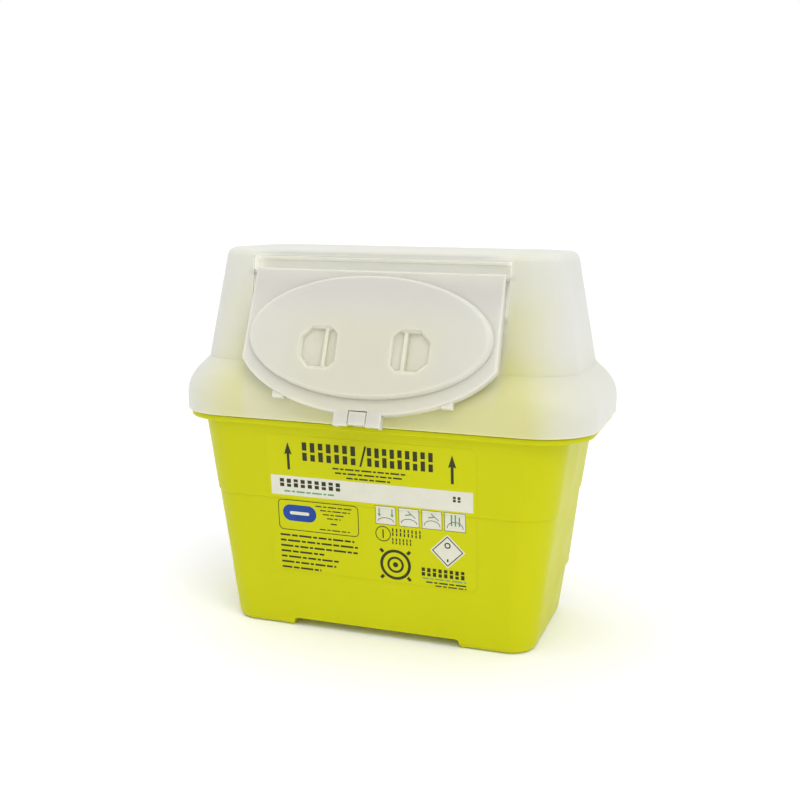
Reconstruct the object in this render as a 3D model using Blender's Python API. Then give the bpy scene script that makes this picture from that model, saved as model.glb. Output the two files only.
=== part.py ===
"""Two litre sharps container: drafted tub, press-on lid with a sloping spout, hinged flap and its latch.

World axes: X is the container's width, -Y its front, +Z up. The origin is on the floor, under the middle of
the bounding box. Sizes below are millimetres; MM turns them into Blender's metres.
"""

import math

import bmesh
import bpy
from mathutils import Vector

MM = 0.001
GAP = 0.3                      # clearance between pieces that touch
Y_SHIFT = 5.75                 # moves the tub's centre back, so that the bounding box is centred
CORNER_STEPS = 8               # flats on each rounded corner

# Tub: half sizes at the floor and at the height where the taper ends
TUB_BASE = (76.5, 38.5, 13.0)  # half width, half depth, corner radius
TUB_TOP = (90.1, 50.5, 20.6)
TUB_TAPER_Z = 109.0
TUB_WALL = 1.8
TUB_EDGE_R = 3.2               # rounding of the bottom edge
WALL_STEP_Z = 66.5             # height of the small step round the tub
WALL_STEP = 0.5
REAR_PAD_Z = 26.0              # the rear corners stand proud from here up to the step
REAR_PAD = 1.2
CHANNEL_HALF_X = 42.0          # channel under the base, between the feet
CHANNEL_H = 4.4
CHANNEL_LEAN = 1.2
FLANGE = (99.2, 52.2, 27.2)    # rim flange that the lid's skirt comes down to
FLANGE_Z = (103.0, 105.6)
MOUTH = (90.4, 49.7, 20.0)     # upstand above the flange
MOUTH_Z = 112.7
SNAP_BEAD = 0.6

# Lid: half width, front y, back y, corner radius
SKIRT = (101.0, -53.5, 53.5, 28.6)
TOWER_FOOT = (91.0, -43.8, 40.6, 22.0)
TOWER_TOP = (81.45, -36.2, 30.8, 17.0)
SKIRT_Z = 105.9
SHOULDER_Z = 114.0
TOWER_Z = 131.5
LID_Z = 183.4
LID_WALL = 1.6
LID_EDGE_R = 3.5
SHOULDER_BULGE = 0.9           # 0 is a straight shoulder, 1 a quarter round
SHELF_Z = (113.0, 114.6)       # shelf inside the lid that rests on the tub's mouth
SEAT_OUTER_X = 100.2
SNAP_RING_X = 91.5
SNAP_RING_Z = 106.4

# Flap frame: s runs down the flap from its top edge, h out of its front face
FLAP_TOP = (-37.6, 174.7)      # y, z of the flap's top edge
FLAP_TILT = math.radians(22.3)
FLAP_T = 1.6
FLAP_TOP_HALF = 59.5
FLAP_ARC = (64.3, 35.6, 30.9)  # half width, half height and centre s of the lower arc
RIM_DEPTH = 5.0                # turned-back rim round the flap
RIM_START_S = 9.0
RIM_WALL = 1.5
DOME = (57.8, 28.4, 31.2)      # half width, half height and centre s of the raised oval
DOME_FACE = (54.6, 26.6)
DOME_H = 3.4
DOME_WALL = 1.5
APERTURE = (53.0, 24.0)        # oval mouth of the lid, behind the dome
POCKET_S = 37.6                # finger pockets in the dome
POCKET_X = (12.4, 31.4)
POCKET_HALF_S = 10.5
POCKET_RIDGE_X = 18.6
POCKET_FLOOR = -0.1
POCKET_WALL = 1.3
RIDGE_HALF_S = 7.6
RIDGE_TOP = 1.5
HINGE_AXIS = (1.5, -2.6)       # s, h of the hinge pins
PIN_R = 1.3
PIN_X = (57.0, 62.6)
PIN_CLEARANCE = 0.3
HEEL_HALF_X = 57.8             # the rim stops at the heel, apart from an ear round each pin
RECESS_HALF_X = 61.4           # hinge recess in the tower
RECESS_S = (-5.7, 24.0)
RECESS_H = -5.6
SOCKET_X = (-3.0, 4.0)         # ends of each pin socket, from the side wall of the recess
SPOUT_H = FLAP_T + GAP         # front face of the spout, behind the flap
SPOUT_INSET = 2.0
SPOUT_DEPTH = 14.0
SPOUT_TOP_S = 4.2

# Latch at the bottom of the flap
LUG_HALF_X = 11.1
LUG_S = 71.8
LUG_CHEEK = 1.5
LUG_BACK_S = 55.0              # the lug is open behind from here down
TONGUE_HALF_X = 4.0
TONGUE_S = (65.2, 71.0)
TONGUE_GAP = 0.5
TONGUE_ARM_S = 69.0
TONGUE_BARB_S = 67.2
TONGUE_REACH = 7.0             # how far the arm and barb reach behind the face
NIB_H = (-4.9, -3.0)
NIB_S = 66.6
NIB_HALF_X = 3.5
LOCK_TAB_X = (37.5, 42.5)      # two lock tabs at the flap's lower edge
LOCK_TAB_S = 60.8
LOCK_TAB_H = (-4.6, -0.6)
ARM_HALF_X = 3.0
ARM_START_H = -0.6
BARB_H = -5.4

# Labels: films that carry the print
LABEL_HALF_X = 51.0
LABEL_Z = (30.0, 98.5)
LABEL_T = 0.3
LABEL_R = 3.0
REAR_LABEL_HALF_X = 40.0
REAR_LABEL_Z = (30.0, 63.0)


def clear_scene():
    for obj in list(bpy.data.objects):
        bpy.data.objects.remove(obj, do_unlink=True)


def material(name, colour, roughness, alpha=1.0):
    mat = bpy.data.materials.new(name)
    mat.use_nodes = True
    shader = mat.node_tree.nodes["Principled BSDF"]
    shader.inputs["Base Color"].default_value = (*colour, 1.0)
    shader.inputs["Roughness"].default_value = roughness
    shader.inputs["Metallic"].default_value = 0.0
    shader.inputs["Alpha"].default_value = alpha
    return mat


# ---- building blocks ----

def ring(half_x, front, back, radius, z, swell=0.0):
    """A rounded rectangle at height z. swell moves its two rear corners outwards."""
    points = []
    for sign_x, sign_y, start in ((1, -1, -90), (1, 1, 0), (-1, 1, 90), (-1, -1, 180)):
        centre_x = sign_x * (half_x - radius)
        centre_y = back - radius if sign_y > 0 else front + radius
        reach = radius + (swell if sign_y > 0 else 0.0)
        for i in range(CORNER_STEPS + 1):
            angle = math.radians(start + 90 * i / CORNER_STEPS)
            points.append((
                centre_x + reach * math.cos(angle),
                centre_y + reach * math.sin(angle) + Y_SHIFT,
                z,
            ))
    return points


def box_ring(size, z, inset=0.0, swell=0.0):
    """A ring centred on the tub: size is half width, half depth and corner radius."""
    half_x, half_y, radius = size
    return ring(half_x - inset, inset - half_y, half_y - inset, radius - inset, z, swell)


def lid_ring(size, z, inset=0.0):
    half_x, front, back, radius = size
    return ring(half_x - inset, front + inset, back - inset, radius - inset, z)


def skin(name, rings, closed_band=False):
    """A closed body through rings of points, capped at each end or joined end to start."""
    bm = bmesh.new()
    rows = [[bm.verts.new(Vector(point) * MM) for point in points] for points in rings]
    pairs = list(zip(rows, rows[1:]))
    if closed_band:
        pairs.append((rows[-1], rows[0]))
    for low, high in pairs:
        count = len(low)
        for i in range(count):
            j = (i + 1) % count
            bm.faces.new((low[i], low[j], high[j], high[i]))
    if not closed_band:
        bm.faces.new(list(reversed(rows[0])))
        bm.faces.new(rows[-1])
    bmesh.ops.recalc_face_normals(bm, faces=bm.faces)
    mesh = bpy.data.meshes.new(name)
    bm.to_mesh(mesh)
    bm.free()
    obj = bpy.data.objects.new(name, mesh)
    bpy.context.collection.objects.link(obj)
    return obj


def on_flap(x, s, h):
    """World millimetres of a point in the flap's frame."""
    y = FLAP_TOP[0] - s * math.sin(FLAP_TILT) - h * math.cos(FLAP_TILT)
    z = FLAP_TOP[1] - s * math.cos(FLAP_TILT) + h * math.sin(FLAP_TILT)
    return (x, y + Y_SHIFT, z)


def flap_prism(name, outline, h_back, h_front):
    """A flat outline in (x, s), made solid between two heights over the flap's face."""
    return skin(name, [[on_flap(x, s, h) for x, s in outline] for h in (h_back, h_front)])


def flap_box(name, x, s, h):
    outline = ((x[0], s[0]), (x[1], s[0]), (x[1], s[1]), (x[0], s[1]))
    return flap_prism(name, outline, h[0], h[1])


def oval(half_x, half_s, centre_s, steps=48):
    turns = [2 * math.pi * i / steps for i in range(steps)]
    return [(half_x * math.cos(t), centre_s + half_s * math.sin(t)) for t in turns]


def pin(name, x0, x1, radius, steps=20):
    """A round pin on the hinge axis from x0 to x1."""
    s, h = HINGE_AXIS
    turns = [2 * math.pi * i / steps for i in range(steps)]
    section = [(s + radius * math.cos(t), h + radius * math.sin(t)) for t in turns]
    return skin(name, [[on_flap(x, a, b) for a, b in section] for x in (x0, x1)])


def combine(target, other, operation):
    """Applies a Boolean with another body, and removes that body."""
    modifier = target.modifiers.new("shape", "BOOLEAN")
    modifier.operation = operation
    modifier.solver = "EXACT"
    modifier.object = other
    bpy.context.view_layer.update()
    evaluated = target.evaluated_get(bpy.context.evaluated_depsgraph_get())
    mesh = bpy.data.meshes.new_from_object(evaluated)
    target.modifiers.clear()
    target.data = mesh
    bpy.data.objects.remove(other, do_unlink=True)


def add(target, other):
    combine(target, other, "UNION")


def cut(target, other):
    combine(target, other, "DIFFERENCE")


def finish(obj, mat, origin=(0.0, 0.0, 0.0)):
    """Gives the body its material, smooth shading and an origin in world millimetres."""
    offset = Vector(origin) * MM
    for vert in obj.data.vertices:
        vert.co -= offset
    obj.location = offset
    obj.data.materials.clear()
    obj.data.materials.append(mat)
    obj.data.shade_smooth()
    obj.data.set_sharp_from_angle(angle=math.radians(32))


# ---- tub ----

def mix(low, high, share):
    return tuple(a + (b - a) * share for a, b in zip(low, high))


def tub_size(z):
    """Half width, half depth and corner radius of the tapered wall at height z."""
    size = mix(TUB_BASE, TUB_TOP, z / TUB_TAPER_Z)
    return tuple(value + math.copysign(WALL_STEP / 2, z - WALL_STEP_Z) for value in size)


def tub_outside():
    rings = []
    for i in range(5):
        angle = math.radians(90 * i / 4)
        z = TUB_EDGE_R * (1 - math.cos(angle))
        rings.append(box_ring(tub_size(z), z, TUB_EDGE_R * (1 - math.sin(angle))))
    below, above = WALL_STEP_Z - 0.01, WALL_STEP_Z + WALL_STEP
    rings.append(box_ring(tub_size(REAR_PAD_Z), REAR_PAD_Z))
    rings.append(box_ring(tub_size(REAR_PAD_Z), REAR_PAD_Z + REAR_PAD, 0, REAR_PAD))
    rings.append(box_ring(tub_size(below), below))
    rings.append(box_ring(tub_size(above), above))
    rings.append(box_ring(tub_size(FLANGE_Z[0]), FLANGE_Z[0]))
    rings.append(box_ring(FLANGE, FLANGE_Z[0] + 0.01, 0.5))
    rings.append(box_ring(FLANGE, FLANGE_Z[0] + 0.5))
    rings.append(box_ring(FLANGE, FLANGE_Z[1]))
    rings.append(box_ring(MOUTH, FLANGE_Z[1]))
    for rise, out in ((3.4, 0), (4.2, SNAP_BEAD), (5.0, SNAP_BEAD), (5.8, 0)):
        rings.append(box_ring(MOUTH, FLANGE_Z[1] + rise, -out))
    rings.append(box_ring(MOUTH, MOUTH_Z))
    return rings


def tub_inside():
    rings = [box_ring(MOUTH, MOUTH_Z, TUB_WALL), box_ring(MOUTH, FLANGE_Z[1] - 1, TUB_WALL)]
    for z in (WALL_STEP_Z, TUB_EDGE_R + 2.0):
        rings.append(box_ring(tub_size(z), z, TUB_WALL))
    rings.append(box_ring(tub_size(0), TUB_WALL, TUB_WALL + 2.0))
    return rings


def channel(name, grow, top, half_y):
    """The trapezium channel that runs from front to back under the base."""
    outline = (
        (-CHANNEL_HALF_X - CHANNEL_LEAN - grow, -1.0 if grow == 0 else 0.6),
        (-CHANNEL_HALF_X - grow, top - 0.8),
        (-CHANNEL_HALF_X + 0.8 - grow, top),
    )
    section = list(outline) + [(-x, z) for x, z in reversed(outline)]
    return skin(name, [[(x, y + Y_SHIFT, z) for x, z in section] for y in (half_y, -half_y)])


def make_tub(mat):
    tub = skin("tub", tub_outside() + tub_inside())
    add(tub, channel("floor_step", TUB_WALL, CHANNEL_H + TUB_WALL, TUB_BASE[1] - 1.0))
    cut(tub, channel("channel", 0.0, CHANNEL_H, TUB_TOP[1]))
    finish(tub, mat)
    return tub


# ---- lid ----

def lid_size(z):
    """Half width, front, back and corner radius of the lid's outside at height z."""
    if z <= SHOULDER_Z:
        return SKIRT
    if z < TOWER_Z:
        share = (z - SHOULDER_Z) / (TOWER_Z - SHOULDER_Z)
        rounded = 1 - math.sqrt(1 - share * share)
        return mix(SKIRT, TOWER_FOOT, share + (rounded - share) * SHOULDER_BULGE * (1 - share ** 2))
    return mix(TOWER_FOOT, TOWER_TOP, (z - TOWER_Z) / (LID_Z - TOWER_Z))


def lid_rings(inset, bottom, top):
    levels = [bottom] + [SHOULDER_Z + (TOWER_Z - SHOULDER_Z) * i / 7 for i in range(8)]
    levels.append((TOWER_Z + LID_Z) / 2)
    rings = [lid_ring(lid_size(z), z, inset) for z in levels]
    edge = LID_EDGE_R - inset
    for i in range(5):
        angle = math.radians(90 * i / 4)
        z = top - edge * (1 - math.sin(angle))
        rings.append(lid_ring(lid_size(z), z, inset + edge * (1 - math.cos(angle))))
    return rings


def flap_outline(inset=0.0, top_s=0.0, lug=False):
    """The flap's outline in (x, s): straight top and sides, a long lower arc, and the lug if asked."""
    half_x, half_s, centre = (FLAP_ARC[0] - inset, FLAP_ARC[1] - inset, FLAP_ARC[2])
    side_x = FLAP_TOP_HALF + 0.8 - inset
    start = math.acos(min(1.0, side_x / half_x))
    steps = 28
    right = [(FLAP_TOP_HALF - inset, top_s)]
    for i in range(steps // 2 + 1):
        angle = start + (math.pi - 2 * start) * i / steps
        right.append((half_x * math.cos(angle), centre + half_s * math.sin(angle)))
    if lug:
        edge = centre + half_s * math.sqrt(1 - (LUG_HALF_X / half_x) ** 2)
        right = [point for point in right if point[0] > LUG_HALF_X + 0.5]
        right += [(LUG_HALF_X, edge), (LUG_HALF_X, LUG_S - 1.0), (LUG_HALF_X - 1.0, LUG_S)]
        return right + [(-x, s) for x, s in reversed(right)]
    return right + [(-x, s) for x, s in reversed(right[:-1])]


def recess(name, grow):
    """The hinge recess, parallel to the flap. grow thickens it on every side."""
    return flap_box(
        name,
        (-RECESS_HALF_X - grow, RECESS_HALF_X + grow),
        (RECESS_S[0] - grow, RECESS_S[1] + grow),
        (RECESS_H - grow, 30.0),
    )


def seat_size(half_x):
    """Size of a band inside the skirt. Its long sides stay against the skirt's wall as it narrows."""
    narrowed = SEAT_OUTER_X - half_x
    return (half_x, SKIRT[2] - 0.8 - 0.22 * narrowed, SKIRT[3] - 0.8 - 0.9 * narrowed)


def seat_ring(name, z_range, outer_x, inner_x):
    low, high = z_range
    corners = ((inner_x, low), (outer_x, low), (outer_x, high), (inner_x, high))
    return skin(name, [box_ring(seat_size(half_x), z) for half_x, z in corners], closed_band=True)


def make_lid(mat):
    lid = skin("lid_housing", lid_rings(0.0, SKIRT_Z, LID_Z))
    cut(lid, recess("recess", 0.0))
    spout = flap_prism("spout", flap_outline(SPOUT_INSET, SPOUT_TOP_S), -SPOUT_DEPTH, -SPOUT_H)
    nib_top = FLAP_ARC[2] + FLAP_ARC[1] - SPOUT_INSET - 1.0
    add(spout, flap_box("nib", (-NIB_HALF_X, NIB_HALF_X), (nib_top, NIB_S), NIB_H))
    add(lid, spout)
    inside = skin("inside", lid_rings(LID_WALL, SKIRT_Z - 5.0, LID_Z - LID_WALL))
    cut(inside, recess("recess_wall", LID_WALL))
    bore = flap_outline(SPOUT_INSET + LID_WALL, SPOUT_TOP_S + LID_WALL)
    add(inside, flap_prism("spout_inside", bore, -SPOUT_DEPTH - 3.0, -SPOUT_H - LID_WALL))
    cut(lid, inside)
    cut(lid, flap_prism("aperture", oval(*APERTURE, DOME[2]), -SPOUT_DEPTH, 4.0))
    add(lid, seat_ring("shelf", SHELF_Z, SEAT_OUTER_X, SNAP_RING_X))
    add(lid, seat_ring("snap_ring", (SNAP_RING_Z, SHELF_Z[1] - 0.4), SNAP_RING_X + LID_WALL, SNAP_RING_X))
    for side in (1, -1):
        socket_x = [side * (RECESS_HALF_X + reach) for reach in SOCKET_X]
        cut(lid, pin("socket", *socket_x, PIN_R + PIN_CLEARANCE))
    finish(lid, mat)
    return lid


# ---- flap ----

def dome_body(name, inset, h_low, rise):
    """The raised oval: a low drum with a rounded shoulder and a slightly crowned face."""
    half_x, half_s, centre = DOME
    sections = [(half_x, half_s, h_low), (half_x, half_s, 0.3)]
    for share in (0.35, 0.7, 1.0):
        angle = share * math.pi / 2
        sections.append((
            half_x + (DOME_FACE[0] - half_x) * (1 - math.cos(angle)),
            half_s + (DOME_FACE[1] - half_s) * (1 - math.cos(angle)),
            0.3 + (rise - 0.3) * math.sin(angle),
        ))
    sections.append((DOME_FACE[0] * 0.55, DOME_FACE[1] * 0.55, rise + 0.35))
    rings = []
    for a, b, h in sections:
        rings.append([on_flap(x, s, h) for x, s in oval(a - inset, b - inset, centre)])
    return skin(name, rings)


def pocket(name, side, grow, h_top):
    """A finger pocket: a deep outer half, a ridge, and an inner half that ramps up to the face."""
    centre_x = (POCKET_X[0] + POCKET_X[1]) / 2
    half_x = (POCKET_X[1] - POCKET_X[0]) / 2
    levels = ((1.0, h_top), (0.93, 1.4), (0.8, POCKET_FLOOR + 0.5), (0.66, POCKET_FLOOR))
    rings = []
    for share, h in levels:
        a, b = half_x * share + grow, POCKET_HALF_S * share + grow
        outline = oval(a, b, POCKET_S, 24)
        level = h if h == h_top else h - grow
        rings.append([on_flap(side * centre_x + x, s, level) for x, s in outline])
    return skin(name, rings)


def make_flap(mat):
    flap = flap_prism("flap", flap_outline(0.0, 0.0, True), -RIM_DEPTH, 0.0)
    for side in (1, -1):
        tab_x = sorted((side * LOCK_TAB_X[0], side * LOCK_TAB_X[1]))
        add(flap, flap_box("lock_tab", tab_x, (DOME[2], LOCK_TAB_S), LOCK_TAB_H))
    cut(flap, flap_prism("inside", flap_outline(RIM_WALL, 3.0), -RIM_DEPTH - 1.0, -FLAP_T))
    behind = (-RIM_DEPTH - 1.0, -FLAP_T)
    cut(flap, flap_box("heel", (-HEEL_HALF_X, HEEL_HALF_X), (-2.0, RIM_START_S), behind))
    lug_inside = LUG_HALF_X - LUG_CHEEK
    cut(flap, flap_box("lug_back", (-lug_inside, lug_inside), (LUG_BACK_S, LUG_S + 2.0), behind))
    add(flap, dome_body("dome", 0.0, -FLAP_T / 2, DOME_H))
    cut(flap, dome_body("dome_inside", DOME_WALL, -FLAP_T - 1.0, DOME_H - DOME_WALL))
    for side in (1, -1):
        add(flap, pocket("pocket_wall", side, POCKET_WALL, DOME_H - 0.7))
        cut(flap, pocket("pocket", side, 0.0, DOME_H + 2.0))
        ridge_x = sorted((side * (POCKET_X[0] + 0.6), side * POCKET_RIDGE_X))
        ridge_s = (POCKET_S - RIDGE_HALF_S, POCKET_S + RIDGE_HALF_S)
        add(flap, flap_box("ridge", ridge_x, ridge_s, (POCKET_FLOOR - 0.6, RIDGE_TOP)))
        add(flap, pin("pin", side * PIN_X[0], side * PIN_X[1], PIN_R))
    slot_x = TONGUE_HALF_X + TONGUE_GAP
    slot_s = (TONGUE_S[0] - TONGUE_GAP, LUG_S + 2.0)
    cut(flap, flap_box("slot", (-slot_x, slot_x), slot_s, (-RIM_DEPTH - 1.0, 1.0)))
    finish(flap, mat, on_flap(0.0, *HINGE_AXIS))
    return flap


def make_tongue(mat):
    half = TONGUE_HALF_X
    tongue = flap_box("latch_tongue", (-half, half), TONGUE_S, (-FLAP_T, 0.0))
    arm_x = (-ARM_HALF_X, ARM_HALF_X)
    arm_s = (TONGUE_ARM_S, TONGUE_S[1] - 0.4)
    barb_s = (TONGUE_BARB_S, TONGUE_ARM_S + 0.6)
    add(tongue, flap_box("arm", arm_x, arm_s, (-TONGUE_REACH, ARM_START_H)))
    add(tongue, flap_box("barb", arm_x, barb_s, (-TONGUE_REACH, BARB_H)))
    finish(tongue, mat, on_flap(0.0, TONGUE_S[0], -FLAP_T / 2))
    return tongue


# ---- labels ----

def rear_size(z):
    """Half depth of the rear wall at height z, on its pad."""
    low_z = REAR_PAD_Z + REAR_PAD
    low = tub_size(REAR_PAD_Z)[1] + REAR_PAD
    high = tub_size(WALL_STEP_Z - WALL_STEP)[1]
    return low + (high - low) * (z - low_z) / (WALL_STEP_Z - low_z)


def label_rows(half_x, z_range, extra_z=()):
    """Half widths and heights down a rounded rectangle, with any extra heights on its straight sides."""
    low, high = z_range
    rows = []
    for i in range(4):
        angle = math.radians(30 * i)
        rows.append((half_x - LABEL_R * (1 - math.sin(angle)), low + LABEL_R * (1 - math.cos(angle))))
    rows += [(half_x, z) for z in extra_z]
    for i in range(4):
        angle = math.radians(90 - 30 * i)
        rows.append((half_x - LABEL_R * (1 - math.sin(angle)), high - LABEL_R * (1 - math.cos(angle))))
    return rows


def make_label(name, rows, depth_at, side, mat):
    """A film held just off a wall: depth_at gives its half depth, side is -1 in front, 1 behind."""
    rings = []
    for half_x, z in rows:
        near, far = (side * (depth_at(z) + out) + Y_SHIFT for out in (GAP, GAP + LABEL_T))
        rings.append([(half_x, near, z), (-half_x, near, z), (-half_x, far, z), (half_x, far, z)])
    label = skin(name, rings)
    finish(label, mat)
    return label


def main():
    clear_scene()
    make_tub(material("tub_yellow", (0.63, 0.62, 0.02), 0.42))
    make_lid(material("lid_natural", (0.80, 0.80, 0.70), 0.40))
    make_flap(material("flap_natural", (0.84, 0.84, 0.78), 0.40))
    make_tongue(material("latch_natural", (0.84, 0.84, 0.78), 0.40))
    film = material("label_film", (0.66, 0.65, 0.03), 0.35)
    front_rows = label_rows(LABEL_HALF_X, LABEL_Z, (WALL_STEP_Z - 0.3, WALL_STEP_Z + WALL_STEP))
    make_label("front_label", front_rows, lambda z: tub_size(z)[1], -1, film)
    make_label("rear_label", label_rows(REAR_LABEL_HALF_X, REAR_LABEL_Z), rear_size, 1, film)


main()
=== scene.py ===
"""Looks of the two litre sharps container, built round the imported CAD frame.

The drawing helpers work in millimetres, as in the design, and MM turns them into Blender's metres.
The fine bodies repeat the CAD's sizes with finer rings and rounded edges, and each replaces its
CAD node. The front is towards -Y, and every body is drawn centred and then moved back by Y_SHIFT.
"""

import math

import bmesh
import bpy
import numpy as np
from mathutils import Euler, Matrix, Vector


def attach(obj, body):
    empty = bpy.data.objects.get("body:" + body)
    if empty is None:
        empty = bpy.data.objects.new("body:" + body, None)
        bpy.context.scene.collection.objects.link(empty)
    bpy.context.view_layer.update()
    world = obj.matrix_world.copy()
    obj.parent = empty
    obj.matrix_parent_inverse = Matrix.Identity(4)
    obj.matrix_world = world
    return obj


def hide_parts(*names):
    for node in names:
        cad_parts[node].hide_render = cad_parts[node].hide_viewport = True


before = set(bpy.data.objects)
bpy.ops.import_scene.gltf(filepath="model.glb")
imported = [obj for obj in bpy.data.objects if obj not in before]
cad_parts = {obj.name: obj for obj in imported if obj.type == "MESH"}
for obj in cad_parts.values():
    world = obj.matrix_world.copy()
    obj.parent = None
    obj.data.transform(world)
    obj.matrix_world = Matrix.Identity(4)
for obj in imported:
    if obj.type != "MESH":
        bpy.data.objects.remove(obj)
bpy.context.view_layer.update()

MM = 0.001

# ---- sizes of the design, in millimetres ----

Y_SHIFT = 5.75

# Tub. A size is half the width, half the depth and the corner radius.
TUB_BASE = (76.5, 38.5, 13.0)
TUB_TOP = (90.1, 50.5, 20.6)
TUB_TAPER_Z = 109.0            # height at which the walls would reach TUB_TOP
TUB_WALL = 1.8
TUB_EDGE_R = 3.2               # rounding of the edge at the base
TUB_FLOOR_R = 3.4              # rounding between the walls and the floor, inside
WALL_STEP_Z = 66.5             # small step round the walls
WALL_STEP = 0.5
REAR_PAD_Z = 26.0              # lower edge of the raised pad on the rear wall
REAR_PAD = 1.2
CHANNEL_HALF_X = 42.0          # channel under the base, between the feet
CHANNEL_H = 4.4
CHANNEL_LEAN = 1.2
CHANNEL_R = 1.6                # rounding of its upper corners
FOOT_R = 1.8                   # rounding of the feet beside it
FLANGE = (99.2, 52.2, 27.2)
FLANGE_Z = (103.0, 105.6)
FLANGE_EDGE_R = 0.6
FLANGE_FILLET = (1.2, 1.08)    # height and reach of the fillet under the flange
MOUTH = (90.4, 49.7, 20.0)
MOUTH_Z = 112.7
MOUTH_EDGE_R = 0.7
MOUTH_BEVEL = 0.4
# Snap bead: height over the flange, and how far it stands out of the mouth's wall.
SNAP_BEAD = ((3.4, 0.0), (3.8, 0.35), (4.2, 0.6), (5.0, 0.6), (5.4, 0.35), (5.8, 0.0))

# Lid. A size is half the width, the front, the back and the corner radius.
SKIRT = (101.0, -53.5, 53.5, 28.6)
TOWER_FOOT = (91.0, -43.8, 40.6, 22.0)
TOWER_TOP = (81.45, -36.2, 30.8, 17.0)
SKIRT_Z = 105.9
SHOULDER_Z = 114.0
TOWER_Z = 131.5
LID_Z = 183.4
LID_WALL = 1.6
LID_EDGE_R = 3.5
SKIRT_EDGE_R = 0.6
SHOULDER_BULGE = 0.9           # how much of a quarter ellipse is in the shoulder's curve
SHELF_Z = (113.0, 114.6)       # shelf that sits over the tub's mouth
SEAT_OUTER_X = 100.2
SEAT_INSET = 0.8               # how far the seat stays within the skirt
SEAT_DEPTH_SHARE = 0.22        # how much its depth and its corners narrow with its width
SEAT_CORNER_SHARE = 0.9
SNAP_RING_X = 91.5             # ring that presses over the tub's mouth
SNAP_RING_Z = 106.4

# Flap, in its own frame: s runs down from its top edge, and h out of its face.
FLAP_TOP = (-37.6, 174.7)      # y and z of its top edge
FLAP_TILT = math.radians(22.3)
FLAP_T = 1.6
FLAP_TOP_HALF = 59.5
FLAP_FLARE = 0.8               # how far its sides spread, from the top down to the arc
FLAP_ARC = (64.3, 35.6, 30.9)  # half axes of the lower arc, and the s of its centre
FLAP_EDGE_R = 0.7
RIM_DEPTH = 5.0                # turned-back rim
RIM_START_S = 9.0
RIM_WALL = 1.5
RIM_EDGE = 0.3
RIM_FOOT = 0.25                # step at the rim's foot, which keeps its inner edge sharp
DOME = (57.8, 28.4, 31.2)      # half axes of the raised oval, and the s of its centre
DOME_FACE = (54.6, 26.6)
DOME_H = 3.4
DOME_CROWN = 0.35
DOME_WALL = 1.5
DOME_INSIDE_SHARE = 0.974      # size of the oval on the inside, as a share of the outside's
APERTURE = (53.0, 24.0)        # half axes of the lid's mouth behind the flap
POCKET_S = 37.6                # finger pockets
POCKET_X = (12.4, 31.4)
POCKET_HALF_S = 10.5
POCKET_CORNERS = (4.0, 5.5)    # cut off the inner and the outer corners
OUTER_CORNERS = (0.8, 4.6)     # the same for the two floors
INNER_CORNERS = (2.6, 0.8)
OUTER_BORDER = 0.9             # how far the floors stay within the pocket
INNER_BORDER = 0.7
POCKET_RIM = 1.0               # wall round a pocket
POCKET_RIDGE_X = 18.6
POCKET_RIDGE = 0.9             # width of the ridge between the two floors
POCKET_FLOOR = 0.9             # depth at the ridge's top
POCKET_OUTER = (2.9, 1.7)      # depth of the outer floor, at the ridge and at the outer wall
POCKET_INNER = (1.3, 2.3)      # depth of the inner floor, at the inner wall and at the ridge
# Section of a pocket's wall: height as a share of its depth (above 0, in mm), and inset.
POCKET_PROFILE = ((3.0, -0.25), (0.05, 0.0), (0.0, 0.04), (-0.75, 0.1), (-1.0, 0.17))

# Hinge: pins on the flap's ears, in sockets in the lid's recess.
HINGE_AXIS = (1.5, -2.6)       # s and h
PIN_R = 1.3
PIN_X = (57.0, 62.6)
PIN_CLEARANCE = 0.3
HEEL_HALF_X = 57.8
SOCKET_X = (-3.0, 1.7)         # ends of a socket, past the recess's side
RECESS_HALF_X = 61.4
RECESS_S = (-5.7, 24.0)
RECESS_H = -5.6

# Spout behind the flap.
SPOUT_H = 1.9
SPOUT_INSET = 2.0
SPOUT_DEPTH = 14.0
SPOUT_TOP_S = 4.2
SPOUT_EDGE_R = 1.2

# Latch: a lug on the flap, a tongue in its middle and a nib on the spout.
LUG_HALF_X = 11.1
LUG_S = 71.8
LUG_CHEEK = 1.5
TONGUE_HALF_X = 4.0
TONGUE_S = (65.2, 71.0)
TONGUE_GAP = 0.5
TONGUE_ARM_HALF_X = 3.0
TONGUE_ARM_S = 69.0
TONGUE_BARB_S = 67.2
TONGUE_BARB_H = -5.4
TONGUE_REACH = 7.0             # how far the arm and barb reach behind the face
NIB_H = (-4.9, -3.0)
NIB_S = 66.6
NIB_HALF_X = 3.5
LOCK_TAB_X = (37.5, 42.5)
LOCK_TAB_S = 60.8
LOCK_TAB_H = (-4.6, -0.6)
LUG_EDGE_R = 0.5
TAB_EDGE_R = 0.4
ARM_EDGE_R = 0.3

# Bodies that cut or join reach past their ends.
PAST = 1.0
PAST_S = 80.0                  # below the lug
PAST_H = 30.0                  # in front of the lid

# Flats on the round shapes of the fine bodies.
CORNER_STEPS = 20
OVAL_STEPS = 120
PIN_STEPS = 32
DISC_STEPS = 40
FLAP_COLUMNS = 240

SHARP_ANGLE = 30               # edges sharper than this stay sharp in the shading
FLAP_SHARP_ANGLE = 35


# ---- mesh helpers ----

def skin(name, rings, band=False):
    """A closed body through rings of points: with a flat cap at each end, or joined end to start."""
    bm = bmesh.new()
    rows = [[bm.verts.new(Vector(point) * MM) for point in points] for points in rings]
    pairs = list(zip(rows, rows[1:]))
    if band:
        pairs.append((rows[-1], rows[0]))
    for low, high in pairs:
        count = len(low)
        for i in range(count):
            j = (i + 1) % count
            bm.faces.new((low[i], low[j], high[j], high[i]))
    if not band:
        bm.faces.new(list(reversed(rows[0])))
        bm.faces.new(rows[-1])
    bmesh.ops.recalc_face_normals(bm, faces=bm.faces)
    return to_object(name, bm)


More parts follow.
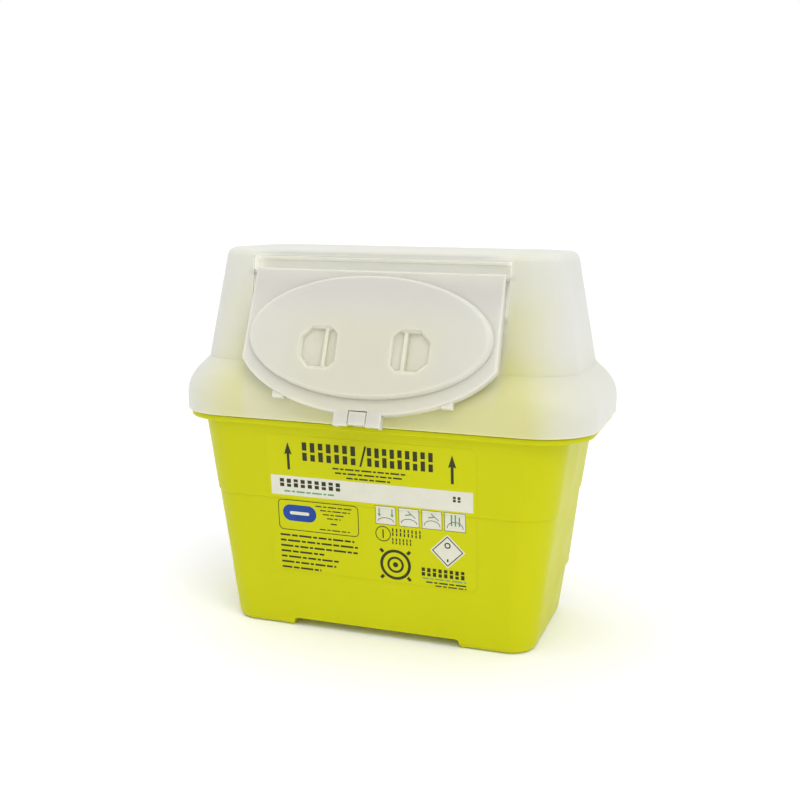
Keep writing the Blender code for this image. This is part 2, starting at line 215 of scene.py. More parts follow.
def to_object(name, bm):
    mesh = bpy.data.meshes.new(name)
    bm.to_mesh(mesh)
    bm.free()
    obj = bpy.data.objects.new(name, mesh)
    bpy.context.scene.collection.objects.link(obj)
    return obj


def combine(target, other, operation):
    """Applies a Boolean with another body, and removes that body."""
    modifier = target.modifiers.new("shape", "BOOLEAN")
    modifier.operation = operation
    modifier.solver = "EXACT"
    modifier.object = other
    bpy.context.view_layer.update()
    evaluated = target.evaluated_get(bpy.context.evaluated_depsgraph_get())
    mesh = bpy.data.meshes.new_from_object(evaluated)
    target.modifiers.clear()
    target.data = mesh
    bpy.data.objects.remove(other, do_unlink=True)


def add(target, other):
    combine(target, other, "UNION")


def cut(target, other):
    combine(target, other, "DIFFERENCE")


def smooth(obj, sharp_angle=SHARP_ANGLE):
    obj.data.shade_smooth()
    obj.data.set_sharp_from_angle(angle=math.radians(sharp_angle))


def place(obj, body, slot, mat, *nodes):
    """Gives a piece its material and body, and hides the CAD nodes that it stands for. The slot is not
    used.
    """
    obj.data.materials.clear()
    obj.data.materials.append(mat)
    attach(obj, body)
    if nodes:
        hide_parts(*nodes)


def mix(low, high, share):
    return tuple(a + (b - a) * share for a, b in zip(low, high))


def quarter(steps):
    """Angles of a quarter turn, in radians."""
    return [math.pi / 2 * i / steps for i in range(steps + 1)]


# ---- rounded rectangles ----

def ring(half_x, front, back, radius, z, swell=0.0):
    """A level ring of points. Its back stands out by swell."""
    points = []
    for sign_x, sign_y, start in ((1, -1, -90), (1, 1, 0), (-1, 1, 90), (-1, -1, 180)):
        centre_x = sign_x * (half_x - radius)
        centre_y = back - radius if sign_y > 0 else front + radius
        reach = radius + (swell if sign_y > 0 else 0.0)
        for i in range(CORNER_STEPS + 1):
            angle = math.radians(start + 90 * i / CORNER_STEPS)
            points.append((
                centre_x + reach * math.cos(angle),
                centre_y + reach * math.sin(angle) + Y_SHIFT,
                z,
            ))
    return points


def box_ring(size, z, inset=0.0, swell=0.0):
    half_x, half_y, radius = size
    return ring(half_x - inset, inset - half_y, half_y - inset, radius - inset, z, swell)


def lid_ring(size, z, inset=0.0):
    half_x, front, back, radius = size
    return ring(half_x - inset, front + inset, back - inset, radius - inset, z)


# ---- the flap's own frame ----

def on_flap(x, s, h):
    """World millimetres of a point in the flap's frame."""
    y = FLAP_TOP[0] - s * math.sin(FLAP_TILT) - h * math.cos(FLAP_TILT)
    z = FLAP_TOP[1] - s * math.cos(FLAP_TILT) + h * math.sin(FLAP_TILT)
    return (x, y + Y_SHIFT, z)


def flap_prism(name, outline, h_back, h_front):
    return skin(name, [[on_flap(x, s, h) for x, s in outline] for h in (h_back, h_front)])


def flap_box(name, x, s, h, edge=0.0):
    """A box in the flap's frame, with its front and back edges rounded by edge."""
    def outline(inset):
        a, b, c, d = x[0] + inset, x[1] - inset, s[0] + inset, s[1] - inset
        return ((a, c), (b, c), (b, d), (a, d))
    if edge == 0:
        return flap_prism(name, outline(0.0), h[0], h[1])
    levels = [(edge * (1 - math.sin(a)), h[0] + edge * (1 - math.cos(a))) for a in quarter(3)]
    levels += [(edge * (1 - math.cos(a)), h[1] - edge * (1 - math.sin(a))) for a in quarter(3)]
    rings = [[on_flap(u, v, level) for u, v in outline(inset)] for inset, level in levels]
    return skin(name, rings)


def flap_outline(inset, top_s, steps=72):
    """The flap's outline in (x, s): straight top and sides, and a long lower arc."""
    half_x, half_s, centre = (FLAP_ARC[0] - inset, FLAP_ARC[1] - inset, FLAP_ARC[2])
    side_x = FLAP_TOP_HALF + FLAP_FLARE - inset
    start = math.acos(min(1.0, side_x / half_x))
    right = [(FLAP_TOP_HALF - inset, top_s)]
    for i in range(steps // 2 + 1):
        angle = start + (math.pi - 2 * start) * i / steps
        right.append((half_x * math.cos(angle), centre + half_s * math.sin(angle)))
    return right + [(-x, s) for x, s in reversed(right[:-1])]


def circle(radius_a, radius_b, centre_a, centre_b, steps):
    turns = [2 * math.pi * i / steps for i in range(steps)]
    return [(centre_a + radius_a * math.cos(t), centre_b + radius_b * math.sin(t)) for t in turns]


def pin(name, x0, x1, radius):
    section = circle(radius, radius, *HINGE_AXIS, PIN_STEPS)
    return skin(name, [[on_flap(x, a, b) for a, b in section] for x in (x0, x1)])


# ---- tub ----

def tub_size(z):
    """The size of the tub's outside at height z."""
    size = mix(TUB_BASE, TUB_TOP, z / TUB_TAPER_Z)
    share = min(1.0, max(-1.0, (z - WALL_STEP_Z - WALL_STEP / 2) / (WALL_STEP / 2)))
    return tuple(value + share * WALL_STEP / 2 for value in size)


def rear_swell(z):
    """How far the rear wall stands out over its pad, which thins out up to the step in the walls."""
    low, high = REAR_PAD_Z + REAR_PAD, WALL_STEP_Z - 0.2 * WALL_STEP
    return REAR_PAD * min(1.0, max(0.0, (high - z) / (high - low)))


def tub_outside():
    rings = []
    for angle in quarter(8):
        z = TUB_EDGE_R * (1 - math.cos(angle))
        rings.append(box_ring(tub_size(z), z, TUB_EDGE_R * (1 - math.sin(angle))))
    for share in (0.0, 0.15, 0.4, 0.75, 1.0):
        swell = REAR_PAD * math.sin(share * math.pi / 2)
        rings.append(box_ring(tub_size(REAR_PAD_Z), REAR_PAD_Z + REAR_PAD * share, 0, swell))
    for share in (-0.2, 0.0, 0.25, 0.5, 0.75, 1.0, 1.2):
        z = WALL_STEP_Z + WALL_STEP * share
        rings.append(box_ring(tub_size(z), z))
    tall, out = FLANGE_FILLET
    for angle in quarter(5):
        z = FLANGE_Z[0] - tall * (1 - math.sin(angle))
        rings.append(box_ring(tub_size(z), z, -out * (1 - math.cos(angle))))
    edge = FLANGE_EDGE_R
    for angle in quarter(4):
        z = FLANGE_Z[0] + edge * (1 - math.cos(angle))
        rings.append(box_ring(FLANGE, z, edge * (1 - math.sin(angle))))
    for angle in quarter(4):
        z = FLANGE_Z[1] - edge * (1 - math.sin(angle))
        rings.append(box_ring(FLANGE, z, edge * (1 - math.cos(angle))))
    rings.append(box_ring(MOUTH, FLANGE_Z[1]))
    for rise, out in SNAP_BEAD:
        rings.append(box_ring(MOUTH, FLANGE_Z[1] + rise, -out))
    edge = MOUTH_EDGE_R
    for angle in quarter(4):
        z = MOUTH_Z - edge * (1 - math.sin(angle))
        rings.append(box_ring(MOUTH, z, edge * (1 - math.cos(angle))))
    return rings


def tub_inside():
    rings = [
        box_ring(MOUTH, MOUTH_Z, TUB_WALL - MOUTH_BEVEL),
        box_ring(MOUTH, MOUTH_Z - MOUTH_BEVEL, TUB_WALL),
        box_ring(MOUTH, FLANGE_Z[1] - 1, TUB_WALL),
    ]
    for z in (WALL_STEP_Z + 1, WALL_STEP_Z - 1, TUB_EDGE_R + 2.0):
        rings.append(box_ring(tub_size(z), z, TUB_WALL))
    for angle in quarter(4)[1:]:
        z = TUB_WALL + TUB_FLOOR_R * (1 - math.sin(angle))
        rings.append(box_ring(tub_size(z), z, TUB_WALL + TUB_FLOOR_R * (1 - math.cos(angle))))
    return rings


def channel(name, grow, top, half_y, low):
    """A trapezium with rounded upper corners: the channel under the base, or with grow its floor."""
    side = [(CHANNEL_HALF_X + CHANNEL_LEAN + grow, low)]
    if grow == 0:
        side = [(CHANNEL_HALF_X + FOOT_R + 1.0, low)]
        for angle in quarter(6):
            out = 0.4 + FOOT_R * (1 - math.sin(angle))
            side.append((CHANNEL_HALF_X + out, FOOT_R * (1 - math.cos(angle))))
    for angle in quarter(5):
        out = grow - CHANNEL_R * (1 - math.cos(angle))
        side.append((CHANNEL_HALF_X + out, top - CHANNEL_R * (1 - math.sin(angle))))
    section = [(-x, z) for x, z in side] + list(reversed(side))
    return skin(name, [[(x, y + Y_SHIFT, z) for x, z in section] for y in (half_y, -half_y)])


def make_tub(mat):
    tub = skin("tub_shell", tub_outside() + tub_inside())
    add(tub, channel("floor_step", TUB_WALL, CHANNEL_H + TUB_WALL, TUB_BASE[1] - 1.0, 0.6))
    cut(tub, channel("channel", 0.0, CHANNEL_H, TUB_TOP[1], -1.0))
    smooth(tub)
    place(tub, "container", "tub_yellow", mat, "tub")


# ---- lid ----

def lid_size(z):
    """The size of the lid's outside at height z."""
    if z <= SHOULDER_Z:
        return SKIRT
    if z < TOWER_Z:
        share = (z - SHOULDER_Z) / (TOWER_Z - SHOULDER_Z)
        rounded = 1 - math.sqrt(1 - share * share)
        bulge = (rounded - share) * SHOULDER_BULGE * (1 - share ** 2)
        return mix(SKIRT, TOWER_FOOT, share + bulge)
    return mix(TOWER_FOOT, TOWER_TOP, (z - TOWER_Z) / (LID_Z - TOWER_Z))


def lid_rings(inset, bottom, top):
    """The lid's outside, or with an inset its inside, from the skirt to the rounded top."""
    levels = [SHOULDER_Z + (TOWER_Z - SHOULDER_Z) * i / 20 for i in range(21)]
    levels += [TOWER_Z + (LID_Z - TOWER_Z) * i / 4 for i in (1, 2, 3)]
    rings = []
    if inset == 0:
        for angle in quarter(4):
            z = bottom + SKIRT_EDGE_R * (1 - math.cos(angle))
            rings.append(lid_ring(SKIRT, z, SKIRT_EDGE_R * (1 - math.sin(angle))))
    else:
        rings.append(lid_ring(SKIRT, bottom, inset))
    rings += [lid_ring(lid_size(z), z, inset) for z in levels]
    edge = LID_EDGE_R - inset
    for angle in quarter(8):
        z = top - edge * (1 - math.sin(angle))
        rings.append(lid_ring(lid_size(z), z, inset + edge * (1 - math.cos(angle))))
    return rings


def recess(name, grow):
    return flap_box(
        name,
        (-RECESS_HALF_X - grow, RECESS_HALF_X + grow),
        (RECESS_S[0] - grow, RECESS_S[1] + grow),
        (RECESS_H - grow, PAST_H),
    )


def seat_size(half_x):
    """The size of a ring of the seat inside the skirt, for its half width."""
    narrowed = SEAT_OUTER_X - half_x
    half_y = SKIRT[2] - SEAT_INSET - SEAT_DEPTH_SHARE * narrowed
    return (half_x, half_y, SKIRT[3] - SEAT_INSET - SEAT_CORNER_SHARE * narrowed)


def seat_ring(name, z_range, outer_x, inner_x):
    low, high = z_range
    corners = ((inner_x, low), (outer_x, low), (outer_x, high), (inner_x, high))
    return skin(name, [box_ring(seat_size(half_x), z) for half_x, z in corners], band=True)


def spout_body():
    """The sloping spout, with a rounded front edge."""
    levels = [(0.0, -SPOUT_DEPTH)]
    for angle in quarter(5):
        behind = SPOUT_EDGE_R * (1 - math.sin(angle))
        levels.append((SPOUT_EDGE_R * (1 - math.cos(angle)), -SPOUT_H - behind))
    rings = []
    for inset, h in levels:
        outline = flap_outline(SPOUT_INSET + inset, SPOUT_TOP_S + inset)
        rings.append([on_flap(x, s, h) for x, s in outline])
    return skin("spout", rings)


def make_lid(mat):
    lid = skin("lid_shell", lid_rings(0.0, SKIRT_Z, LID_Z))
    cut(lid, recess("recess", 0.0))
    spout = spout_body()
    nib_top = FLAP_ARC[2] + FLAP_ARC[1] - SPOUT_INSET - PAST
    add(spout, flap_box("nib", (-NIB_HALF_X, NIB_HALF_X), (nib_top, NIB_S), NIB_H))
    add(lid, spout)
    inside = skin("inside", lid_rings(LID_WALL, SKIRT_Z - 5.0, LID_Z - LID_WALL))
    cut(inside, recess("recess_wall", LID_WALL))
    bore = flap_outline(SPOUT_INSET + LID_WALL, SPOUT_TOP_S + LID_WALL)
    add(inside, flap_prism("spout_inside", bore, -SPOUT_DEPTH - 3.0, -SPOUT_H - LID_WALL))
    cut(lid, inside)
    mouth = circle(*APERTURE, 0.0, DOME[2], OVAL_STEPS)
    cut(lid, flap_prism("aperture", mouth, -SPOUT_DEPTH, 4.0))
    add(lid, seat_ring("shelf", SHELF_Z, SEAT_OUTER_X, SNAP_RING_X))
    snap_z = (SNAP_RING_Z, SHELF_Z[1] - 0.4)
    add(lid, seat_ring("snap_ring", snap_z, SNAP_RING_X + LID_WALL, SNAP_RING_X))
    for side in (1, -1):
        socket_x = [side * (RECESS_HALF_X + reach) for reach in SOCKET_X]
        cut(lid, pin("socket", *socket_x, PIN_R + PIN_CLEARANCE))
    smooth(lid)
    place(lid, "lid", "lid_natural", mat, "lid_housing")


# ---- flap ----

def ramp(value, low, high):
    """0 below low, 1 above high, and a smooth rise between."""
    t = np.clip((value - low) / (high - low), 0, 1)
    return t * t * (3 - 2 * t)


def dome_height(x, s):
    """Height of the raised oval over the plate, without its pockets."""
    reach = np.hypot(x / DOME[0], (s - DOME[2]) / DOME[1])
    face = DOME_FACE[0] / DOME[0]
    rise = np.sqrt(np.clip(1 - ((reach - face) / (1 - face)) ** 2, 0, 1))
    wall = np.where(reach < face, 1.0, np.where(reach < 1, rise, 0.0))
    crown = DOME_CROWN * np.clip(1 - (reach / face) ** 2, 0, 1)
    return DOME_H * wall + crown


def pocket_part(name, corners, slope, side, rise=0.0):
    """One cut of a finger pocket, by its corners (x, s) and its depth at the inner and outer x.

    Its top is higher by the share rise, so that the tops of cuts that are joined don't coincide.
    """
    xs = [x for x, _ in corners]
    low, high = min(xs), max(xs)
    middle = (sum(xs) / len(xs), sum(s for _, s in corners) / len(corners))
    rings = []
    for lift, inset in POCKET_PROFILE:
        points = []
        for x, s in corners:
            x, s = x + (middle[0] - x) * inset, s + (middle[1] - s) * inset
            depth = slope[0] + (slope[1] - slope[0]) * (x - low) / (high - low)
            h = DOME_H + 0.25 + (lift * (1 + rise) if lift > 0 else lift * depth)
            points.append(on_flap(side * x, s, h))
        rings.append(points)
    return skin(name, rings)


def pocket_corners(x0, x1, cut0, cut1, half_s):
    """A rectangle with its inner corners cut off by cut0 and its outer ones by cut1."""
    low, high = POCKET_S - half_s, POCKET_S + half_s
    return (
        (x0 + cut0, low), (x1 - cut1, low), (x1, low + cut1), (x1, high - cut1),
        (x1 - cut1, high), (x0 + cut0, high), (x0, high - cut0), (x0, low + cut0),
    )


def pocket_cuts(side):
    """The shallow outline of a pocket, and the deeper cuts on either side of its ridge."""
    inner, outer = POCKET_X
    ridge = (POCKET_RIDGE_X - POCKET_RIDGE / 2, POCKET_RIDGE_X + POCKET_RIDGE / 2)
    whole = pocket_corners(inner, outer, *POCKET_CORNERS, POCKET_HALF_S)
    half_s = POCKET_HALF_S - OUTER_BORDER
    far = pocket_corners(ridge[1], outer - OUTER_BORDER, *OUTER_CORNERS, half_s)
    near = pocket_corners(inner + INNER_BORDER, ridge[0], *INNER_CORNERS, half_s)
    yield pocket_part("pocket", whole, (POCKET_FLOOR, POCKET_FLOOR), side)
    yield pocket_part("pocket_outer", far, POCKET_OUTER, side, 0.2)
    yield pocket_part("pocket_inner", near, POCKET_INNER, side, 0.4)


def flap_columns(count):
    """Points of the outline and of the oval in the same directions from the oval's centre."""
    outline = np.array(flap_outline(0.0, 0.0, 160))
    closed = np.vstack([outline, outline[:1]])
    steps = np.hypot(*np.diff(closed, axis=0).T)
    length = np.concatenate([[0], np.cumsum(steps)])
    at = np.linspace(0, length[-1], count, endpoint=False)
    points = np.stack([np.interp(at, length, closed[:, 0]), np.interp(at, length, closed[:, 1])], 1)
    angle = np.arctan2((points[:, 1] - DOME[2]) / DOME[1], points[:, 0] / DOME[0])
    base = np.stack([DOME[0] * np.cos(angle), DOME[2] + DOME[1] * np.sin(angle)], 1)
    return points, base


def flap_rings():
    """Rings of the flap in (x, s, h): over the front, round the rim and back over the inside."""
    outline, base = flap_columns(FLAP_COLUMNS)
    centre = np.array([0.0, DOME[2]])
    rings = []

    def over(points, height):
        rings.append(np.column_stack([points, height]))

    shares = list(np.linspace(0.02, 0.90, 16)) + list(np.linspace(0.925, 1.0, 16))
    for share in shares:
        points = centre + (base - centre) * share
        over(points, dome_height(points[:, 0], points[:, 1]))
    inward = outline - centre
    inward = inward / np.hypot(*inward.T)[:, None]
    edge = FLAP_EDGE_R
    shrunk = outline - inward * edge
    flat = np.ones(FLAP_COLUMNS)
    for share in np.linspace(0.12, 1.0, 7):
        over(base + (shrunk - base) * share, flat * 0.0)
    rim = FLAP_T + (RIM_DEPTH - FLAP_T) * ramp(outline[:, 1], RIM_START_S, RIM_START_S + 4.0)
    for angle in quarter(5)[1:]:
        drop = edge * (1 - math.cos(angle))
        over(outline - inward * edge * (1 - math.sin(angle)), flat * -drop)
    over(outline, -rim + RIM_EDGE)
    over(outline - inward * RIM_EDGE, -rim)
    over(outline - inward * (RIM_WALL - RIM_EDGE), -rim)
    over(outline - inward * RIM_WALL, -rim)
    foot = np.where(rim > FLAP_T + RIM_EDGE, -FLAP_T - RIM_FOOT, -FLAP_T)
    over(outline - inward * (RIM_WALL + 0.05), foot)
    over(outline - inward * (RIM_WALL + 0.5), flat * -FLAP_T)
    for share in reversed(shares):
        points = centre + (base - centre) * share
        inset = centre + (points - centre) * DOME_INSIDE_SHARE
        behind = dome_height(points[:, 0], points[:, 1]) - DOME_WALL
        over(inset, np.maximum(behind, -FLAP_T))
    return rings


def make_flap(mat):
    rings = [[on_flap(*point) for point in points] for points in flap_rings()]
    flap = skin("flap_shell", rings)
    low, high = POCKET_X[0] - POCKET_RIM, POCKET_X[1] + POCKET_RIM
    wall = pocket_corners(low, high, *POCKET_CORNERS, POCKET_HALF_S + POCKET_RIM)
    for side in (1, -1):
        block = flap_prism("pocket_wall", [(side * x, s) for x, s in wall], -0.7, DOME_H - 0.5)
        add(flap, block)
    for side in (1, -1):
        whole, outer, inner = pocket_cuts(side)
        add(whole, outer)
        add(whole, inner)
        cut(flap, whole)
    tail = FLAP_ARC[2] + FLAP_ARC[1]
    inner = LUG_HALF_X - LUG_CHEEK
    behind = -RIM_DEPTH - PAST
    lug_x, lug_s = (-LUG_HALF_X, LUG_HALF_X), (tail - 3.0, LUG_S)
    lug = flap_box("lug", lug_x, lug_s, (-RIM_DEPTH, 0.0), LUG_EDGE_R)
    cut(lug, flap_box("lug_back", (-inner, inner), (50.0, PAST_S), (behind, -FLAP_T)))
    add(flap, lug)
    gap_s = (tail - 6.0, PAST_S)
    cut(flap, flap_box("rim_gap", (-inner, inner), gap_s, (behind, -FLAP_T - 0.02)))
    tab_s = FLAP_ARC[2] + FLAP_ARC[1] * math.sqrt(1 - (LOCK_TAB_X[1] / FLAP_ARC[0]) ** 2) - PAST
    for side in (1, -1):
        ear_x = sorted((side * HEEL_HALF_X, side * (FLAP_TOP_HALF - 0.05)))
        add(flap, flap_box("ear", ear_x, (0.1, RIM_START_S + 3.0), (-RIM_DEPTH, -0.4), ARM_EDGE_R))
        tab_x = sorted((side * LOCK_TAB_X[0], side * LOCK_TAB_X[1]))
        add(flap, flap_box("lock_tab", tab_x, (tab_s, LOCK_TAB_S), LOCK_TAB_H, TAB_EDGE_R))
        add(flap, pin("pin", side * PIN_X[0], side * PIN_X[1], PIN_R))
    slot_x = TONGUE_HALF_X + TONGUE_GAP
    slot_s = (TONGUE_S[0] - TONGUE_GAP, LUG_S + 2 * PAST)
    cut(flap, flap_box("slot", (-slot_x, slot_x), slot_s, (behind, PAST)))
    smooth(flap, FLAP_SHARP_ANGLE)
    place(flap, "closure", "flap_natural", mat, "flap")


def make_tongue(mat):
    half = TONGUE_HALF_X
    tongue = flap_box("tongue_spring", (-half, half), TONGUE_S, (-FLAP_T, 0.0), TAB_EDGE_R)
    arm_x = (-TONGUE_ARM_HALF_X, TONGUE_ARM_HALF_X)
    arm_s = (TONGUE_ARM_S, TONGUE_S[1] - 0.4)
    barb_s = (TONGUE_BARB_S, TONGUE_ARM_S + 0.6)
    add(tongue, flap_box("arm", arm_x, arm_s, (-TONGUE_REACH, -0.6), ARM_EDGE_R))
    add(tongue, flap_box("barb", arm_x, barb_s, (-TONGUE_REACH, TONGUE_BARB_H), ARM_EDGE_R))
    smooth(tongue, FLAP_SHARP_ANGLE)
    place(tongue, "latch", "flap_natural", mat, "latch_tongue")


# ---- labels and print, as (x, z) on the front or rear wall ----

LABEL_HALF_X = 51.0
LABEL_Z = (30.0, 98.5)
REAR_LABEL_HALF_X = 40.0
REAR_LABEL_Z = (30.0, 63.0)
LABEL_R = 3.0
# How far the back and the face of each layer lie off the wall.
FILM_LIFT = (0.02, 0.07)
BAND_LIFT = (0.072, 0.10)
INK_LIFT = (0.102, 0.13)
# Sizes of the marks that stand in for print.
ARROW_HEAD = 6.0
ARROW_HALF = 1.9
ARROW_STEM = 0.65
GLYPH_GAP = 0.06               # half the cut across a block, as a share of its height
GLYPH_SPLITS = (0.50, 0.42, 0.58, 0.46, 0.54)
WORD_WIDTHS = (3.1, 1.7, 4.2, 2.3, 5.0, 1.4)
TEXT_WIDTHS = (5.2, 3.0, 6.4, 2.1, 4.1, 1.7)
TEXT_ENDS = (-8.6, -6.9, -7.1, -24.3, -17.0, -18.4, -26.2)
TEXT_TOP = 48.1
TEXT_PITCH = 2.78
TILES_X = ((2.5, 12.6), (13.9, 23.8), (25.1, 34.8), (35.9, 46.0))
TILES_Z = (58.7, 67.9)


def rounded(x0, x1, z0, z1, radius, steps=8):
    """Corner points of a rounded rectangle, counter-clockwise."""
    points = []
    for cx, cz, start in ((x1 - radius, z0 + radius, -90), (x1 - radius, z1 - radius, 0),
                          (x0 + radius, z1 - radius, 90), (x0 + radius, z0 + radius, 180)):
        for i in range(steps + 1):
            angle = math.radians(start + 90 * i / steps)
            points.append((cx + radius * math.cos(angle), cz + radius * math.sin(angle)))
    return points


def disc(cx, cz, radius):
    return circle(radius, radius, cx, cz, DISC_STEPS)


def bar(x0, x1, z0, z1):
    return [(x0, z0), (x1, z0), (x1, z1), (x0, z1)]


class Ink:
    """Flat shapes of one colour, thickened a little and laid on the front wall, or the rear one."""

    def __init__(self, name, lift, rear=False):
        self.name, self.lift, self.rear = name, lift, rear
        self.bm = bmesh.new()

    def shape(self, points):
        self.bm.faces.new([self.bm.verts.new((x, 0.0, z)) for x, z in points])

    def band(self, outer, inner):
        """The area between two outlines with the same number of points."""
        a = [self.bm.verts.new((x, 0.0, z)) for x, z in outer]
        b = [self.bm.verts.new((x, 0.0, z)) for x, z in inner]
        for i in range(len(a)):
            j = (i + 1) % len(a)
            self.bm.faces.new((a[i], a[j], b[j], b[i]))

    def stroke(self, points, width):
        """A line of the given width through points, as one quad for each stretch."""
        for (x0, z0), (x1, z1) in zip(points, points[1:]):
            length = math.hypot(x1 - x0, z1 - z0)
            dx, dz = -(z1 - z0) / length * width / 2, (x1 - x0) / length * width / 2
            start = [(x0 + dx, z0 + dz), (x0 - dx, z0 - dz)]
            self.shape(start + [(x1 - dx, z1 - dz), (x1 + dx, z1 + dz)])

    def words(self, x0, x1, z, height, widths=WORD_WIDTHS, gap=0.75):
        """A row of plain dashes, as word-sized marks with no letters."""
        x, i = x0, 0
        while x < x1 - 0.4:
            end = min(x + widths[i % len(widths)], x1)
            self.shape(bar(x, end, z - height / 2, z + height / 2))
            x, i = end + gap, i + 1

    def glyphs(self, x0, x1, z0, z1, count, share=0.56):
        """Evenly spaced solid blocks in place of capitals, each cut across at its own height."""
        pitch, tall = (x1 - x0) / count, z1 - z0
        for i in range(count):
            left = x0 + pitch * i
            right = left + pitch * share
            split = GLYPH_SPLITS[i % len(GLYPH_SPLITS)]
            self.shape(bar(left, right, z0, z0 + tall * (split - GLYPH_GAP)))
            self.shape(bar(left, right, z0 + tall * (split + GLYPH_GAP), z1))

    def make(self, mat, slot, *nodes):
        """Lays the shapes on the wall, with edges where it steps, and places them as one piece."""
        bm = self.bm
        bm.normal_update()
        bmesh.ops.triangulate(bm, faces=bm.faces)
        if not self.rear:
            for share in (0, 0.5, 1):
                height = (0, 0, WALL_STEP_Z + WALL_STEP * share)
                everything = list(bm.verts) + list(bm.edges) + list(bm.faces)
                bmesh.ops.bisect_plane(bm, geom=everything, plane_co=height, plane_no=(0, 0, 1))
        back = set(bm.verts)
        bmesh.ops.extrude_face_region(bm, geom=list(bm.faces), use_keep_orig=True)
        for vert in bm.verts:
            x, _, z = vert.co
            y = tub_size(z)[1] + self.lift[0 if vert in back else 1]
            y = y + rear_swell(z) if self.rear else -y
            vert.co = Vector((x, y + Y_SHIFT, z)) * MM
        bmesh.ops.recalc_face_normals(bm, faces=bm.faces)
        place(to_object(self.name, bm), "container", slot, mat, *nodes)


def arrow(ink, x, low, high):
    neck = high - ARROW_HEAD
    outline = (
        (-ARROW_STEM, low), (ARROW_STEM, low), (ARROW_STEM, neck + 0.5), (ARROW_HALF, neck),
        (0.0, high), (-ARROW_HALF, neck), (-ARROW_STEM, neck + 0.5),
    )
    ink.shape([(x + out, z) for out, z in outline])


def front_print(dark, white, green, blue, pale):
    for x, low, high in ((-40.0, 81.6, 95.0), (40.0, 81.7, 95.2)):
        arrow(dark, x, low, high)
    dark.glyphs(-32.7, -4.4, 86.5, 95.5, 7)
    dark.stroke([(-3.9, 86.0), (-1.1, 96.0)], 0.9)
    dark.glyphs(-0.4, 32.6, 86.5, 95.5, 9)
    for z, half in ((84.0, 17.8), (81.9, 16.6), (79.8, 11.0)):
        dark.words(-half, half, z, 0.75)
    white.shape(bar(-49.6, 49.6, 68.7, 78.4))
    dark.glyphs(-45.0, -13.0, 72.9, 76.9, 9, 0.60)
    green.words(-43.0, -17.0, 70.7, 0.8)
    dark.glyphs(40.2, 44.6, 73.2, 75.8, 2, 0.60)
    dark.band(rounded(-47.0, -6.0, 50.8, 66.3, 2.4), rounded(-46.65, -6.35, 51.15, 65.95, 2.05))
    blue.shape(rounded(-44.6, -27.4, 55.6, 63.8, 4.0, 14))
    pale.shape(rounded(-41.0, -31.0, 58.9, 60.5, 0.7))
    note = ((64.2, -27.6, -9.4), (62.3, -25.4, -10.2), (60.4, -24.0, -13.0), (58.5, -22.0, -15.0))
    for z, x0, x1 in note:
        dark.words(x0, x1, z, 0.55)
    dark.words(-20.2, -17.0, 55.9, 0.6)
    dark.words(-26.0, -10.7, 52.7, 0.55)
    for i, end in enumerate(TEXT_ENDS):
        shift = i % 3
        widths = TEXT_WIDTHS[shift:] + TEXT_WIDTHS[:shift]
        dark.words(-46.7, end, TEXT_TOP - TEXT_PITCH * i, 0.95, widths, 0.8)
    tiles(dark, white, green)
    dark.band(disc(6.0, 54.0, 3.8), disc(6.0, 54.0, 3.4))
    dark.stroke([(6.0, 51.8), (6.0, 56.2)], 0.6)
    dark.glyphs(10.5, 25.6, 53.5, 57.2, 8, 0.34)
    dark.glyphs(10.4, 20.8, 49.4, 52.4, 6, 0.34)
    target(dark, 11.7, 39.0)
    diamond(dark, white, 37.2, 48.6, 8.4)
    dark.glyphs(24.5, 46.2, 35.2, 39.3, 8, 0.60)
    green.words(24.8, 46.0, 34.0, 0.6)
    dark.words(26.6, 46.0, 32.2, 0.7)
    dark.words(31.0, 46.0, 30.7, 0.6)


def tiles(dark, white, green):
    """Four small picture tiles: a frame, a low arc and a few plain marks in each."""
    z0, z1 = TILES_Z
    for i, (x0, x1) in enumerate(TILES_X):
        white.shape(bar(x0, x1, z0, z1))
        dark.band(bar(x0, x1, z0, z1), bar(x0 + 0.2, x1 - 0.2, z0 + 0.2, z1 - 0.2))
        middle = (x0 + x1) / 2
        turns = [math.pi * k / 12 for k in range(13)]
        tall = 1.9 + 0.4 * i
        dark.stroke([(middle + 3.8 * math.cos(t), 60.2 + tall * math.sin(t)) for t in turns], 0.28)
        if i == 0:
            for x in (x0 + 1.9, x1 - 1.9):
                green.shape([(x - 0.9, 63.8), (x, 62.4), (x + 0.9, 63.8)])
                green.stroke([(x, 63.6), (x, 66.4)], 0.6)
        elif i == 3:
            for x, high in ((middle - 1.7, 66.9), (middle + 0.1, 66.9), (middle + 2.0, 65.8)):
                green.stroke([(x, 61.4), (x, high)], 0.7)
        else:
            green.stroke([(middle - 1.8, 64.2), (middle + 1.4, 64.9)], 0.6)
            dark.stroke([(middle - 0.5, 66.4), (middle + 3.2, 63.2)], 0.28)


def target(ink, cx, cz):
    """A plain mark: two rings, a dot and four ticks."""
    ink.band(disc(cx, cz, 7.6), disc(cx, cz, 6.2))
    ink.band(disc(cx, cz, 4.1), disc(cx, cz, 3.0))
    ink.shape(disc(cx, cz, 1.3))
    for turn in (45, 135, 225, 315):
        angle = math.radians(turn)
        ink.stroke([(cx + r * math.cos(angle), cz + r * math.sin(angle)) for r in (8.3, 10.4)], 1.5)


def diamond(dark, white, cx, cz, half):
    """A plain diamond with a small ring and a dot in it."""
    def corners(reach):
        return [(cx, cz - reach), (cx + reach, cz), (cx, cz + reach), (cx - reach, cz)]

    white.shape(corners(half))
    dark.band(corners(half - 0.9), corners(half - 1.55))
    dark.band(disc(cx, cz + 2.9, 1.5), disc(cx, cz + 2.9, 0.9))
    dark.shape(bar(cx - 0.4, cx + 0.4, cz - 5.2, cz - 3.8))


